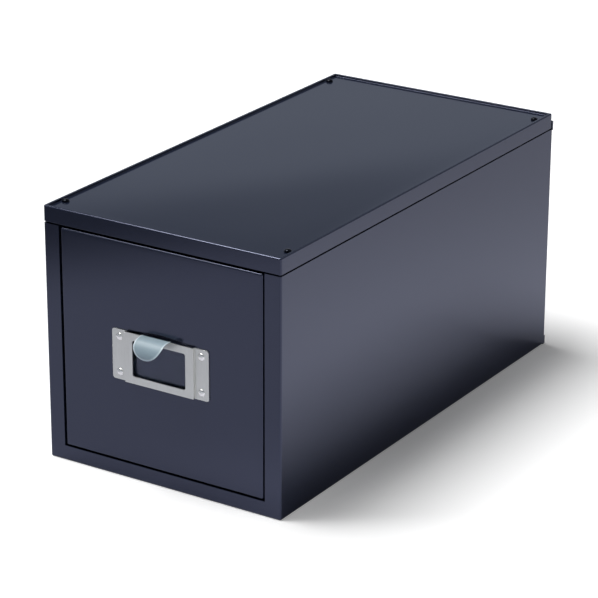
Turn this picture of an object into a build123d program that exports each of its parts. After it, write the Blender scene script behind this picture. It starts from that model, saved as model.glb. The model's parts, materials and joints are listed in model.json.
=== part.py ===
"""A tabletop steel box for compact discs, with one full-height drawer.

Millimetres. X runs across the front, Y from the front to the back, Z up. The origin is the centre of the
object's box at the level it stands on. Every sheet is drawn at its real thickness.
"""
import os
from math import asin, cos, radians, sin

from build123d import *

os.makedirs("parts", exist_ok=True)

# Overall size: across the sides, front frame to the lip at the back, and foot to the cover's rim
WIDTH = 170.0
DEPTH = 332.0
HEIGHT = 165.0

# Sheets
CASE_SHEET = 0.8
DRAWER_SHEET = 0.6
BEND = 1.3  # outer radius of a bent edge of the case and the cover

# Gaps and clearances
SEAM = 1.0  # dark line between the cover's skirt and the shoulder of the case
LAP = 0.2  # joggled walls to the cover's skirt outside them
SIDE_GAP = 1.3  # drawer front to the frame at each side
FOOT_GAP = 1.0  # drawer front to the frame's lower bar
HEAD_GAP = 1.6  # drawer front to the cover's skirt
RUN_GAP = 0.2  # under and over what slides
STOP_GAP = 0.3  # left at both ends of the drawer's travel
HOLE_GAP = 0.05  # round a rivet or stud in its hole

# Front frame of the case
FRAME_SIDE = 11.2
FRAME_FOOT = 9.8
FRAME_RETURN = 12.0  # the frame's edges are turned back this far into the case
FOOT_RETURN = 24.0  # between the shoes, the lower edge is turned back further and carries the glides

# Flanges of the case, and the pressed back
TOP_FLANGE = 11.0
REAR_FLANGE = 12.0
BACK_HEM = 12.0
BACK_ROUND = 0.6
LIP_DROP = 5.5  # top of the back's lip below the cover's rim
LIP_HEIGHT = 6.0
LIP_PROUD = 1.2
LIP_SHEETS = 2  # the lip is folded back on itself
FOOT_LIP_HEIGHT = 6.0
FOOT_LIP_PROUD = 0.9
COVER_REAR_GAP = 0.4  # the back's lip to the cover's rear skirt

# Cover
SKIRT = 10.2
RIM_WIDTH = 2.0
RIM_RISE = 1.4
RIM_ROUND = 0.8
TRAY_ROUND = 0.5

# Studs of the cover, and the matching sockets in the floor of the case
STUD_INSET_X = 5.3
STUD_INSET_Y = 15.4
STUD_R = 2.2
STUD_RISE = 1.8
STUD_SHANK_R = 1.5
STUD_BARB_R = 1.9
STUD_BARB = 1.5
SOCKET_R = 3.0

# Crossbar behind the cover's front skirt
CROSSBAR_LEG = 9.0

# Runners, shoes and glides
RUNNER_Z = 9.0  # upper face of the lower leg
CHANNEL = 10.0  # inside height
LEG_GAP = 2.3  # edge of a runner's legs to the side of the drawer
RUNNER_END_GAP = 2.0
SHOE_LENGTH = 20.0
SHOE_GAP = 0.7  # shoe to the web of its channel
SHOE_INSET = 2.5  # from the back of the tray
SHOE_ROUND = 1.5
GLIDE_INSET = 12.3  # from the drawer's sides
GLIDE_R = 3.5
GLIDE_SHANK_R = 1.5

# Buffers on the back
BUFFER_R = 5.0
BUFFER_LENGTH = 6.0
BUFFER_INSET = 22.3  # from the drawer's sides
BUFFER_Z = 60.0

# Drawer
FRONT_THICK = 12.0
FRONT_BEND = 1.2
FRONT_CORNER = 1.2
TRAY_FLOOR_Z = 11.2
TRAY_SIDE = 100.0
TRAY_BEND = 1.2
TRAY_HEM = 6.0
TRAY_TAB = 10.0
BACK_TAB = 8.0

# Pressed fingertip recess behind the label holder's upper bar, measured from the holder's edges
RECESS_DEPTH = 2.4
RECESS_INSET = 0.15  # inside the raised middle at each side
RECESS_FOOT = 5.7  # below the top edge
RECESS_SHOULDER = 0.4  # below the top edge
RECESS_CROWN = 1.8  # above the top edge
RECESS_CORNER = 2.3
RECESS_TAPER = 30.0
RECESS_ROUND = 1.0

# Label holder
HOLDER_DROP = 1.0  # its middle below the middle of the drawer front
HOLDER_WIDTH = 70.0
HOLDER_HEIGHT = 32.4
HOLDER_TAB = 10.05
HOLDER_SHEET = 0.8
HOLDER_PROUD = 2.4
HOLDER_CORNER = 1.8
HOLDER_BEND = 0.5
WINDOW_SIDE = 5.7  # from the raised middle's sides
WINDOW_BORDER = 4.6  # above and below
WINDOW_CORNER = 1.5
LEDGE_GAP = 0.1  # the holder's lower ledge to the drawer front

# Rivets of the label holder
RIVET_INSET_X = 5.35
RIVET_INSET_Z = 4.75
RIVET_R = 2.4
RIVET_RISE = 1.1
RIVET_SHANK_R = 1.2
RIVET_TAIL = 0.8

# Label film and its pull tongue
FILM = 0.3
FILM_GAP = 0.3
TONGUE_WIDTH = 20.3
TONGUE_X = -1.8
TONGUE_DROP = 9.6  # its tip below the holder's top edge
TONGUE_PROUD = 14.2
TONGUE_CURL = 9.7
FILM_SIDE_GAP = 0.5
FILM_HOLD = 4.4  # what stays in the holder when the film is drawn up

# Blind rivets of the back, and the rivets of the shoes
BLIND_R = 3.0
BLIND_RISE = 1.0
BLIND_SHANK_R = 1.6
BLIND_TAIL_R = 2.2
BLIND_TAIL = 1.6
BLIND_FOOT = 19.8  # lowest rivets above the foot
BLIND_HEAD = 15.5  # highest rivets below the shoulder
SHOE_RIVET_R = 2.0
SHOE_RIVET_RISE = 0.7
SHOE_RIVET_SHANK_R = 1.3
SHOE_RIVET_COVER = 5.0  # nylon beyond the end of a rivet
SHOE_RIVET_SPACE = 10.0
SHOE_RIVET_LIFT = 1.0  # above the middle of the shoe, clear of the tray's bend

# Levels and planes that the pieces share
half_width = WIDTH / 2
inside_x = half_width - CASE_SHEET
lap_x = inside_x - LAP  # outer face of the joggled walls
front_y = -(DEPTH - TONGUE_PROUD) / 2
back_y = front_y + DEPTH
panel_y = back_y - LIP_PROUD  # rear face of the back
flange_y = panel_y - 2 * CASE_SHEET  # where the back's hems meet the rear flanges
cover_back_y = back_y - LIP_SHEETS * CASE_SHEET - COVER_REAR_GAP
lap_front_y = front_y + CASE_SHEET + LAP
lap_back_y = cover_back_y - CASE_SHEET - LAP
skirt_z = HEIGHT - SKIRT
shoulder_z = skirt_z - SEAM
cover_z = HEIGHT - RIM_RISE  # upper face of the cover's tray
flange_z = cover_z - CASE_SHEET  # upper face of the case's top flanges

stud_x = half_width - STUD_INSET_X
stud_ys = (front_y + STUD_INSET_Y, cover_back_y - STUD_INSET_Y)

opening_x = half_width - FRAME_SIDE
front_x = opening_x - SIDE_GAP
front_low_z = FRAME_FOOT + FOOT_GAP
front_top_z = skirt_z - HEAD_GAP
liner_y = front_y + FRONT_THICK
apron_x = front_x - RUN_GAP  # passes between the shoes
glide_x = front_x - GLIDE_INSET
glide_y = liner_y + (FOOT_RETURN - FRONT_THICK) / 2

tray_inside_x = front_x - DRAWER_SHEET
tray_inside_z = TRAY_FLOOR_Z + DRAWER_SHEET
tray_top_z = TRAY_FLOOR_Z + TRAY_SIDE
tray_back_y = panel_y - CASE_SHEET - BUFFER_LENGTH - STOP_GAP
shoe_x = inside_x - CASE_SHEET - SHOE_GAP
shoe_back_y = tray_back_y - SHOE_INSET
shoe_front_y = shoe_back_y - SHOE_LENGTH
shoe_rivet_z = RUNNER_Z + CHANNEL / 2 + SHOE_RIVET_LIFT
shoe_rivet_x = shoe_x - SHOE_RIVET_COVER
leg_x = front_x + LEG_GAP
buffer_x = front_x - BUFFER_INSET
runner_front_y = front_y + FRAME_RETURN + STOP_GAP
runner_back_y = flange_y - CASE_SHEET - RUNNER_END_GAP
drawer_travel = shoe_front_y - (front_y + FRAME_RETURN) - STOP_GAP

holder_z = (front_low_z + front_top_z) / 2 - HOLDER_DROP
holder_low_z = holder_z - HOLDER_HEIGHT / 2
holder_top_z = holder_z + HOLDER_HEIGHT / 2
step_x = HOLDER_WIDTH / 2 - HOLDER_TAB  # sides of the raised middle
inner_step_x = step_x - HOLDER_SHEET
recess_x = inner_step_x - RECESS_INSET
holder_face_y = front_y - HOLDER_PROUD
holder_back_y = holder_face_y + HOLDER_SHEET
film_travel = HOLDER_HEIGHT - FILM_HOLD

blind_x = inside_x - REAR_FLANGE / 2
blind_top_z = shoulder_z - BLIND_HEAD
blind_zs = [BLIND_FOOT, (BLIND_FOOT + blind_top_z) / 2, blind_top_z]
rivet_xs = (RIVET_INSET_X - HOLDER_WIDTH / 2, HOLDER_WIDTH / 2 - RIVET_INSET_X)
rivet_zs = (holder_low_z + RIVET_INSET_Z, holder_top_z - RIVET_INSET_Z)
rivet_places = [(x, z) for x in rivet_xs for z in rivet_zs]
shoe_rivet_ys = [shoe_front_y + (SHOE_LENGTH + row * SHOE_RIVET_SPACE) / 2 for row in (-1, 1)]

print(f"drawer travel {drawer_travel:.2f}, film travel {film_travel:.2f}")
print(f"inside of the tray {2 * tray_inside_x:.1f} by {tray_back_y - liner_y - 2 * DRAWER_SHEET:.1f}")

wall = CASE_SHEET / 2
skin = DRAWER_SHEET / 2


def block(x_ends, y_ends, z_ends, mode=Mode.ADD):
    """Box between two values along each axis, given in either order."""
    with BuildSketch(Plane.XY.offset(min(z_ends))) as base:
        with Locations((sum(x_ends) / 2, sum(y_ends) / 2)):
            Rectangle(abs(x_ends[1] - x_ends[0]), abs(y_ends[1] - y_ends[0]))
    extrude(base.sketch, amount=abs(z_ends[1] - z_ends[0]), mode=mode)


def folded_sheet(points, radii, thickness, y_ends):
    """Sheet of one thickness along a bent line in the XZ plane, drawn out along Y."""
    with BuildSketch(Plane.XZ.offset(-y_ends[0])) as section:
        with BuildLine():
            FilletPolyline(*points, radius=radii)
        trace(line_width=thickness)
    extrude(section.sketch, amount=y_ends[0] - y_ends[1])


def facing(place, outward):
    """Plane through a place whose own Y runs outward, for the half profile of a turned piece."""
    out = Vector(outward)
    across = Vector(0, 1, 0) if abs(out.X) > 0.5 else Vector(1, 0, 0)
    return Plane(origin=place, x_dir=across, z_dir=across.cross(out))


def fastener(place, outward, head, shank, tail=(0.0, 0.0)):
    """Turned rivet or stud: a domed head (radius, rise), a shank and a tail (radius, length)."""
    plane = facing(place, outward)
    dome_r = (head[0] ** 2 + head[1] ** 2) / (2 * head[1])
    half_angle = asin(min(1.0, head[0] / dome_r)) / 2
    crown = (dome_r * sin(half_angle), head[1] - dome_r + dome_r * cos(half_angle))
    end = -shank[1]
    points = [(head[0], 0), (shank[0], 0), (shank[0], end)]
    if tail[1]:
        points += [(tail[0], end), (tail[0], end - tail[1])]
    points += [(0, points[-1][1]), (0, head[1])]
    with BuildSketch(plane) as half_profile:
        with BuildLine():
            ThreePointArc((0, head[1]), crown, (head[0], 0))
            Polyline(*points)
        make_face()
    revolve(half_profile.sketch, axis=Axis(plane.origin, plane.y_dir))


def bore(place, outward, radius, depth):
    """Round hole cut inwards from a place on a face."""
    out = Vector(outward)
    with BuildSketch(Plane(origin=place, z_dir=out)) as mouth:
        Circle(radius)
    extrude(mouth.sketch, amount=-depth, mode=Mode.SUBTRACT)


def save(piece, name):
    """Label a finished piece and write it under its own name."""
    piece.part.label = name
    export_step(piece.part, f"parts/{name}.step")


# Case shell: floor, sides and front frame with returns, joggled walls with flanges, and rear flanges
with BuildPart() as case_shell:
    block((-half_width, half_width), (front_y, flange_y), (0, shoulder_z))
    low_edges = case_shell.edges().filter_by(Axis.Z, reverse=True).group_by(Axis.Z)[0]
    bent = low_edges.filter_by(lambda e: e.center().Y < flange_y - wall)
    bent += case_shell.edges().filter_by(Axis.Z).group_by(Axis.Y)[0]
    fillet(bent, BEND)
    with BuildPart(mode=Mode.PRIVATE) as hollow:
        block((-inside_x, inside_x), (front_y + CASE_SHEET, back_y), (CASE_SHEET, HEIGHT))
        low_edges = hollow.edges().filter_by(Axis.Z, reverse=True).group_by(Axis.Z)[0]
        bent = low_edges.filter_by(lambda e: e.center().Y < flange_y - wall)
        bent += hollow.edges().filter_by(Axis.Z).group_by(Axis.Y)[0]
        fillet(bent, BEND - CASE_SHEET)
    add(hollow.part, mode=Mode.SUBTRACT)
    block((-opening_x, opening_x), (front_y, front_y + CASE_SHEET), (FRAME_FOOT, HEIGHT), mode=Mode.SUBTRACT)
    block((-opening_x, opening_x), (front_y, front_y + FRAME_RETURN), (FRAME_FOOT - CASE_SHEET, FRAME_FOOT))
    block((-apron_x, apron_x), (front_y, front_y + FOOT_RETURN), (FRAME_FOOT - CASE_SHEET, FRAME_FOOT))
    for side in (-1, 1):
        edge = (side * opening_x, side * (opening_x + CASE_SHEET))
        block(edge, (front_y, front_y + FRAME_RETURN), (FRAME_FOOT - CASE_SHEET, shoulder_z))
        joggle = (side * inside_x, side * (lap_x - CASE_SHEET))
        block(joggle, (front_y + CASE_SHEET, lap_back_y), (shoulder_z - CASE_SHEET, shoulder_z))
        upper_wall = (side * lap_x, side * (lap_x - CASE_SHEET))
        block(upper_wall, (lap_front_y, lap_back_y), (shoulder_z - CASE_SHEET, flange_z))
        top_flange = (side * lap_x, side * (lap_x - TOP_FLANGE))
        block(top_flange, (lap_front_y, lap_back_y), (flange_z - CASE_SHEET, flange_z))
        rear = (side * inside_x, side * (inside_x - REAR_FLANGE))
        block(rear, (flange_y - CASE_SHEET, flange_y), (wall, shoulder_z - CASE_SHEET))
    for side in (-1, 1):
        for y in stud_ys:
            bore((side * stud_x, y, CASE_SHEET), (0, 0, 1), SOCKET_R, CASE_SHEET)
            bore((side * stud_x, y, flange_z), (0, 0, 1), STUD_SHANK_R + HOLE_GAP, CASE_SHEET)
        for z in blind_zs:
            bore((side * blind_x, flange_y, z), (0, 1, 0), BLIND_SHANK_R + HOLE_GAP, CASE_SHEET)
        bore((side * glide_x, glide_y, FRAME_FOOT), (0, 0, 1), GLIDE_SHANK_R + HOLE_GAP, CASE_SHEET)
save(case_shell, "case_shell")


# Back: a hemmed sheet, a folded lip over the cover's rear skirt and a foot lip
with BuildPart() as rear_panel:
    lip_top_z = HEIGHT - LIP_DROP
    lip_low_z = lip_top_z - LIP_HEIGHT
    block((-half_width, half_width), (panel_y - CASE_SHEET, panel_y), (0, lip_low_z))
    with BuildSketch(Plane.XZ.offset(-flange_y)):
        with Locations((0, shoulder_z / 2)):
            Rectangle(WIDTH, shoulder_z)
            Rectangle(WIDTH - 2 * BACK_HEM, shoulder_z - 2 * BACK_HEM, mode=Mode.SUBTRACT)
    extrude(amount=-CASE_SHEET)
    upright = rear_panel.edges().filter_by(Axis.Z).group_by(Axis.Y)[-1]
    fillet(upright, BACK_ROUND)
    foot_lip = (panel_y - CASE_SHEET, panel_y + FOOT_LIP_PROUD)
    block((-half_width, half_width), foot_lip, (0, FOOT_LIP_HEIGHT))
    lip = (back_y - LIP_SHEETS * CASE_SHEET, back_y)
    block((-half_width, half_width), lip, (lip_low_z - wall, lip_top_z))
    across = rear_panel.edges().filter_by(Axis.X)
    fillet(across.filter_by(lambda e: e.center().Y > panel_y + wall), BACK_ROUND)
    for side in (-1, 1):
        for z in blind_zs:
            bore((side * blind_x, panel_y, z), (0, 1, 0), BLIND_SHANK_R + HOLE_GAP, 2 * CASE_SHEET)
save(rear_panel, "rear_panel")

with BuildPart() as rear_panel_rivets:
    for side in (-1, 1):
        for z in blind_zs:
            fastener((side * blind_x, panel_y, z), (0, 1, 0), (BLIND_R, BLIND_RISE),
                     (BLIND_SHANK_R, 3 * CASE_SHEET), (BLIND_TAIL_R, BLIND_TAIL))
save(rear_panel_rivets, "rear_panel_rivets")


# Front crossbar: a channel that opens to the rear, under the case's top flanges
with BuildPart() as front_crossbar:
    bar_top_z = flange_z - CASE_SHEET
    bar_x = (-lap_x + CASE_SHEET, lap_x - CASE_SHEET)
    block(bar_x, (lap_front_y, lap_front_y + CASE_SHEET), (skirt_z, bar_top_z))
    for z in (skirt_z, bar_top_z - CASE_SHEET):
        block(bar_x, (lap_front_y, lap_front_y + CROSSBAR_LEG), (z, z + CASE_SHEET))
    upper_front = front_crossbar.edges().filter_by(Axis.X).group_by(Axis.Y)[0]
    fillet(upper_front, wall)
save(front_crossbar, "front_crossbar")


# Cover: a sunk tray inside a raised rim, with a skirt flush with the sides
with BuildPart() as top_cover:
    with BuildSketch(Plane.XY.offset(skirt_z)):
        with Locations((0, (front_y + cover_back_y) / 2)):
            RectangleRounded(WIDTH, cover_back_y - front_y, BEND)
    extrude(amount=SKIRT)
    block((-inside_x, inside_x), (front_y + CASE_SHEET, cover_back_y - CASE_SHEET), (skirt_z, flange_z),
          mode=Mode.SUBTRACT)
    with BuildSketch(Plane.XY.offset(cover_z)):
        with Locations((0, (front_y + cover_back_y) / 2)):
            Rectangle(WIDTH - 2 * RIM_WIDTH, cover_back_y - front_y - 2 * RIM_WIDTH)
    extrude(amount=RIM_RISE, mode=Mode.SUBTRACT)
    rim = top_cover.faces().sort_by(Axis.Z)[-1]
    fillet(rim.edges(), RIM_ROUND)
    tray_edges = top_cover.faces().filter_by(Axis.Z).filter_by(lambda f: abs(f.center().Z - cover_z) < wall)
    fillet(tray_edges[0].outer_wire().edges(), TRAY_ROUND)
    for side in (-1, 1):
        for y in stud_ys:
            bore((side * stud_x, y, cover_z), (0, 0, 1), STUD_SHANK_R + HOLE_GAP, CASE_SHEET)
save(top_cover, "top_cover")

with BuildPart() as cover_studs:
    for side in (-1, 1):
        for y in stud_ys:
            fastener((side * stud_x, y, cover_z), (0, 0, 1), (STUD_R, STUD_RISE),
                     (STUD_SHANK_R, 2 * CASE_SHEET + HOLE_GAP), (STUD_BARB_R, STUD_BARB))
save(cover_studs, "cover_studs")


# Runners: channels on the inside of the sides, open towards the drawer
def runner(side):
    """One channel: a web on the wall of the case and two legs."""
    length = (runner_front_y, runner_back_y)
    web = (side * inside_x, side * (inside_x - CASE_SHEET))
    legs = (side * inside_x, side * leg_x)
    block(web, length, (RUNNER_Z - CASE_SHEET, RUNNER_Z + CHANNEL + CASE_SHEET))
    for z in (RUNNER_Z - CASE_SHEET, RUNNER_Z + CHANNEL):
        block(legs, length, (z, z + CASE_SHEET))


with BuildPart() as left_runner:
    runner(-1)
save(left_runner, "left_runner")

with BuildPart() as right_runner:
    runner(1)
save(right_runner, "right_runner")

with BuildPart() as front_glides:
    glide_rise = TRAY_FLOOR_Z - RUN_GAP - FRAME_FOOT
    for side in (-1, 1):
        fastener((side * glide_x, glide_y, FRAME_FOOT), (0, 0, 1), (GLIDE_R, glide_rise),
                 (GLIDE_SHANK_R, CASE_SHEET + HOLE_GAP), (GLIDE_SHANK_R + wall, CASE_SHEET))
save(front_glides, "front_glides")

with BuildPart() as rear_buffers:
    with BuildSketch(Plane.XZ.offset(CASE_SHEET - panel_y)):
        with Locations((-buffer_x, BUFFER_Z), (buffer_x, BUFFER_Z)):
            Circle(BUFFER_R)
    extrude(amount=BUFFER_LENGTH)
    fillet(rear_buffers.edges().group_by(Axis.Y)[0], SHOE_ROUND)
save(rear_buffers, "rear_buffers")


# Drawer front: a pressed pan with rolled edges and a fingertip recess, closed by a liner
def front_pan(inset, depth):
    """Solid pan shape, as far inside the outer skin as the inset says."""
    with BuildSketch(Plane.XZ.offset(-front_y - inset)) as face:
        with Locations((0, (front_low_z + front_top_z) / 2)):
            RectangleRounded(2 * (front_x - inset), front_top_z - front_low_z - 2 * inset, FRONT_CORNER - inset)
    extrude(face.sketch, amount=-depth)


def recess_outline(grow):
    """Outline of the fingertip recess: a flat foot, upright sides and an arched head."""
    foot_z = holder_top_z - RECESS_FOOT
    shoulder = holder_top_z - RECESS_SHOULDER
    with BuildLine() as outline:
        arch = ThreePointArc((-recess_x, shoulder), (0, holder_top_z + RECESS_CROWN), (recess_x, shoulder))
        Polyline(arch @ 1, (recess_x, foot_z), (-recess_x, foot_z), arch @ 0)
    face = make_face(outline.edges())
    fillet(face.vertices(), RECESS_CORNER)
    if grow:
        offset(amount=grow, mode=Mode.REPLACE)


press_plane = Plane(origin=(0, front_y, 0), x_dir=(-1, 0, 0), z_dir=(0, 1, 0))
with BuildPart() as drawer_front:
    front_pan(0, FRONT_THICK)
    fillet(drawer_front.faces().sort_by(Axis.Y)[0].edges(), FRONT_BEND)
    with BuildPart(mode=Mode.PRIVATE) as hollow:
        front_pan(CASE_SHEET, FRONT_THICK)
        fillet(hollow.faces().sort_by(Axis.Y)[0].edges(), FRONT_BEND - CASE_SHEET)
    add(hollow.part, mode=Mode.SUBTRACT)
    with BuildSketch(press_plane.offset(wall)):
        recess_outline(CASE_SHEET / cos(radians(RECESS_TAPER)))
    extrude(amount=RECESS_DEPTH + wall, taper=RECESS_TAPER)
    with BuildSketch(press_plane):
        recess_outline(0)
    extrude(amount=RECESS_DEPTH, taper=RECESS_TAPER, mode=Mode.SUBTRACT)
    for level_y in (front_y, front_y + RECESS_DEPTH):
        level = drawer_front.edges().filter_by(lambda e: abs(e.center().Y - level_y) < 0.01)
        inner = level.filter_by(lambda e: abs(e.center().X) < HOLDER_WIDTH / 2)
        fillet(inner.filter_by(lambda e: abs(e.center().Z - holder_z) < HOLDER_HEIGHT), RECESS_ROUND)
    for x, z in rivet_places:
        bore((x, front_y, z), (0, -1, 0), RIVET_SHANK_R + HOLE_GAP, CASE_SHEET)
save(drawer_front, "drawer_front")

with BuildPart() as drawer_front_liner:
    with BuildSketch(Plane.XZ.offset(-liner_y)):
        with Locations((0, (front_low_z + front_top_z) / 2)):
            RectangleRounded(2 * (front_x - CASE_SHEET), front_top_z - front_low_z - 2 * CASE_SHEET,
                             FRONT_CORNER - CASE_SHEET)
    extrude(amount=CASE_SHEET)
save(drawer_front_liner, "drawer_front_liner")


# Drawer tray: floor and sides from one sheet, with folded top edges and tabs on the liner
with BuildPart() as drawer_tray:
    tray_line = [
        (skin - front_x, tray_top_z),
        (skin - front_x, TRAY_FLOOR_Z + skin),
        (front_x - skin, TRAY_FLOOR_Z + skin),
        (front_x - skin, tray_top_z),
    ]
    folded_sheet(tray_line, [TRAY_BEND - skin] * 2, DRAWER_SHEET, (liner_y, tray_back_y))
    for side in (-1, 1):
        hem = (side * front_x, side * (front_x + DRAWER_SHEET))
        block(hem, (liner_y, tray_back_y), (tray_top_z - TRAY_HEM, tray_top_z))
        tab = (side * (front_x - skin), side * (tray_inside_x - TRAY_TAB))
        block(tab, (liner_y, liner_y + DRAWER_SHEET), (tray_inside_z, tray_top_z))
        for y in shoe_rivet_ys:
            bore((side * tray_inside_x, y, shoe_rivet_z), (-side, 0, 0), SHOE_RIVET_SHANK_R + HOLE_GAP,
                 DRAWER_SHEET)
save(drawer_tray, "drawer_tray")

with BuildPart() as drawer_back:
    back_low_z = TRAY_FLOOR_Z + TRAY_BEND
    block((-tray_inside_x, tray_inside_x), (tray_back_y - DRAWER_SHEET, tray_back_y), (back_low_z, tray_top_z))
    block((-tray_inside_x, tray_inside_x), (tray_back_y - 2 * DRAWER_SHEET, tray_back_y),
          (tray_top_z - TRAY_HEM, tray_top_z))
    for side in (-1, 1):
        tab = (side * tray_inside_x, side * (tray_inside_x - DRAWER_SHEET))
        block(tab, (tray_back_y - BACK_TAB, tray_back_y), (RUNNER_Z + CHANNEL, tray_top_z - TRAY_HEM))
save(drawer_back, "drawer_back")


# Shoes: nylon blocks on the tray that run in the channels
def shoe(side):
    """One shoe, bored for its rivets."""
    block((side * front_x, side * shoe_x), (shoe_front_y, shoe_back_y),
          (RUNNER_Z + RUN_GAP, RUNNER_Z + CHANNEL - RUN_GAP))
    outer = Axis.X if side > 0 else -Axis.X
    fillet(faces().sort_by(outer)[-1].edges(), SHOE_ROUND)
    for y in shoe_rivet_ys:
        bore((side * front_x, y, shoe_rivet_z), (-side, 0, 0), SHOE_RIVET_SHANK_R + HOLE_GAP,
             shoe_rivet_x + HOLE_GAP - front_x)


with BuildPart() as left_guide_shoe:
    shoe(-1)
save(left_guide_shoe, "left_guide_shoe")

with BuildPart() as right_guide_shoe:
    shoe(1)
save(right_guide_shoe, "right_guide_shoe")

with BuildPart() as shoe_rivets:
    for side in (-1, 1):
        for y in shoe_rivet_ys:
            fastener((side * tray_inside_x, y, shoe_rivet_z), (-side, 0, 0), (SHOE_RIVET_R, SHOE_RIVET_RISE),
                     (SHOE_RIVET_SHANK_R, shoe_rivet_x - tray_inside_x))
save(shoe_rivets, "shoe_rivets")


# Label holder: a joggled frame on two tabs, with a ledge that carries the film
with BuildPart() as label_holder:
    half_hat = [
        (step_x, holder_face_y),
        (step_x, front_y - HOLDER_SHEET),
        (HOLDER_WIDTH / 2, front_y - HOLDER_SHEET),
        (HOLDER_WIDTH / 2, front_y),
        (inner_step_x, front_y),
        (inner_step_x, holder_back_y),
    ]
    with BuildSketch(Plane.XY.offset(holder_low_z)) as hat:
        with BuildLine():
            Polyline(*half_hat, *[(-x, y) for x, y in reversed(half_hat)], close=True)
        make_face()
        bends = hat.vertices().filter_by(
            lambda v: abs(v.Y - holder_face_y) < 0.01 or abs(abs(v.X) - step_x) < 0.01
        )
        fillet(bends, HOLDER_BEND)
    extrude(amount=HOLDER_HEIGHT)
    corners = label_holder.edges().filter_by(Axis.Y).filter_by(lambda e: abs(e.center().X) > step_x + 1)
    fillet(corners, HOLDER_CORNER)
    with BuildSketch(Plane.XZ.offset(-holder_face_y)):
        with Locations((0, holder_z)):
            RectangleRounded(2 * (step_x - WINDOW_SIDE), HOLDER_HEIGHT - 2 * WINDOW_BORDER, WINDOW_CORNER)
    extrude(amount=-HOLDER_SHEET, mode=Mode.SUBTRACT)
    block((-inner_step_x, inner_step_x), (holder_back_y, front_y - LEDGE_GAP),
          (holder_low_z, holder_low_z + HOLDER_SHEET))
    for x, z in rivet_places:
        bore((x, front_y - HOLDER_SHEET, z), (0, -1, 0), RIVET_SHANK_R + HOLE_GAP, HOLDER_SHEET)
save(label_holder, "label_holder")

with BuildPart() as holder_rivets:
    for x, z in rivet_places:
        fastener((x, front_y - HOLDER_SHEET, z), (0, -1, 0), (RIVET_R, RIVET_RISE),
                 (RIVET_SHANK_R, HOLDER_SHEET + CASE_SHEET + HOLE_GAP), (RIVET_SHANK_R + wall, RIVET_TAIL))
save(holder_rivets, "holder_rivets")


# Label film: a flat sheet behind the window, and a tongue that curls forward over the top edge
with BuildPart() as label_film:
    fold_r = FILM_GAP + FILM / 2
    film_y = holder_back_y + fold_r
    fold_z = holder_top_z + fold_r
    tip_y = front_y - TONGUE_PROUD + FILM / 2
    tip_z = holder_top_z - TONGUE_DROP
    end_r = TONGUE_WIDTH / 2
    film_x = inner_step_x - FILM_SIDE_GAP
    film_low_z = holder_low_z + HOLDER_SHEET + FILM_GAP
    film_top_z = holder_top_z - HOLDER_SHEET
    tongue_line = [(film_y, film_top_z - HOLDER_SHEET), (film_y, fold_z), (tip_y, fold_z), (tip_y, tip_z)]
    with BuildSketch(Plane.YZ.offset(TONGUE_X - end_r)):
        with BuildLine():
            FilletPolyline(*tongue_line, radius=[fold_r, TONGUE_CURL])
        trace(line_width=FILM)
    extrude(amount=TONGUE_WIDTH)
    with BuildSketch(Plane.XZ.offset(-front_y)):
        with Locations((TONGUE_X, tip_z + end_r)):
            Circle(end_r)
        with Locations((TONGUE_X, tip_z + 2 * end_r)):
            Rectangle(TONGUE_WIDTH, 2 * end_r)
    extrude(amount=2 * TONGUE_PROUD, mode=Mode.INTERSECT)
    block((-film_x, film_x), (film_y - FILM / 2, film_y + FILM / 2), (film_low_z, film_top_z))
save(label_film, "label_film")
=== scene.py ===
"""The looks of a tabletop steel box for compact discs, made round its packed construction model.

Sizes below are in millimetres, and Blender's objects are in metres. X runs across the front, Y from the
front to the back, Z up. Each new piece is a surface over a grid of two parameters, worked out as whole
arrays.
"""

import json
from math import cos, pi, radians, sin

import bmesh
import bpy
import numpy as np
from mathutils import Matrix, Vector


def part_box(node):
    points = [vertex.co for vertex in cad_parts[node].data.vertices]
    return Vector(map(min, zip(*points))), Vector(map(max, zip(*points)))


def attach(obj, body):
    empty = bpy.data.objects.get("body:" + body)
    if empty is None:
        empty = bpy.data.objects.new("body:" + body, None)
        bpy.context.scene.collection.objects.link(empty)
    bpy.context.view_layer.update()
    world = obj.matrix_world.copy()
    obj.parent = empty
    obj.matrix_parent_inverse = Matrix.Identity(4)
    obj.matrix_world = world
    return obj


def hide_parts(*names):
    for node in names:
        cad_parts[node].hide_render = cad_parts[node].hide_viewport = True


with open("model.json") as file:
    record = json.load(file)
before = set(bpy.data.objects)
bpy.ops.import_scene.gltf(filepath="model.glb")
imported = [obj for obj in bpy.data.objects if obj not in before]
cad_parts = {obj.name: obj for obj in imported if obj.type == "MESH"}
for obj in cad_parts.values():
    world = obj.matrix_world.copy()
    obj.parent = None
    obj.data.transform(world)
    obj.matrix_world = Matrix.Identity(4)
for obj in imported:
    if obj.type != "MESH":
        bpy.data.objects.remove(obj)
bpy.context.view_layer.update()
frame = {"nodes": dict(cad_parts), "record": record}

MM = 0.001

# The photograph's view: angles in degrees, distance in millimetres, focal length in millimetres on the sensor
VIEW_AZIMUTH = 32.60
VIEW_ELEVATION = 21.32
VIEW_ROLL = 0.21
VIEW_DISTANCE = 1745.0
VIEW_TARGET = (-6.9, 3.9, 67.9)
LENS = 163.0
SENSOR = 36.0

# Front lamp: a small one from the left, for the glints on studs and rivets
GLINT_PLACE = (-1.30, -0.95, 2.20)
GLINT_SIZE = 0.5
GLINT_POWER = 7.0

# Floor and surroundings: shades are shares of white, and places are metres along a direction turned from Y
FLOOR_REACH = 6.0
FLOOR_TURN = 50.0
# The floor's shades are painted shade: darker bands standing in for less light, mirrored by the object's
# gloss
FLOOR_PAINTED_SHADE_STOPS = ((-0.58, 0.10), (-0.42, 0.60), (-0.20, 0.60), (0.08, 1.00), (0.22, 1.00), (0.55, 0.78))
FLOOR_TINT = (0.87, 0.89, 1.0)
FLOOR_SEEN = 1.28
WORLD_FILL = 0.12
WORLD_TINT = (0.84, 0.91, 1.03)
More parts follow.
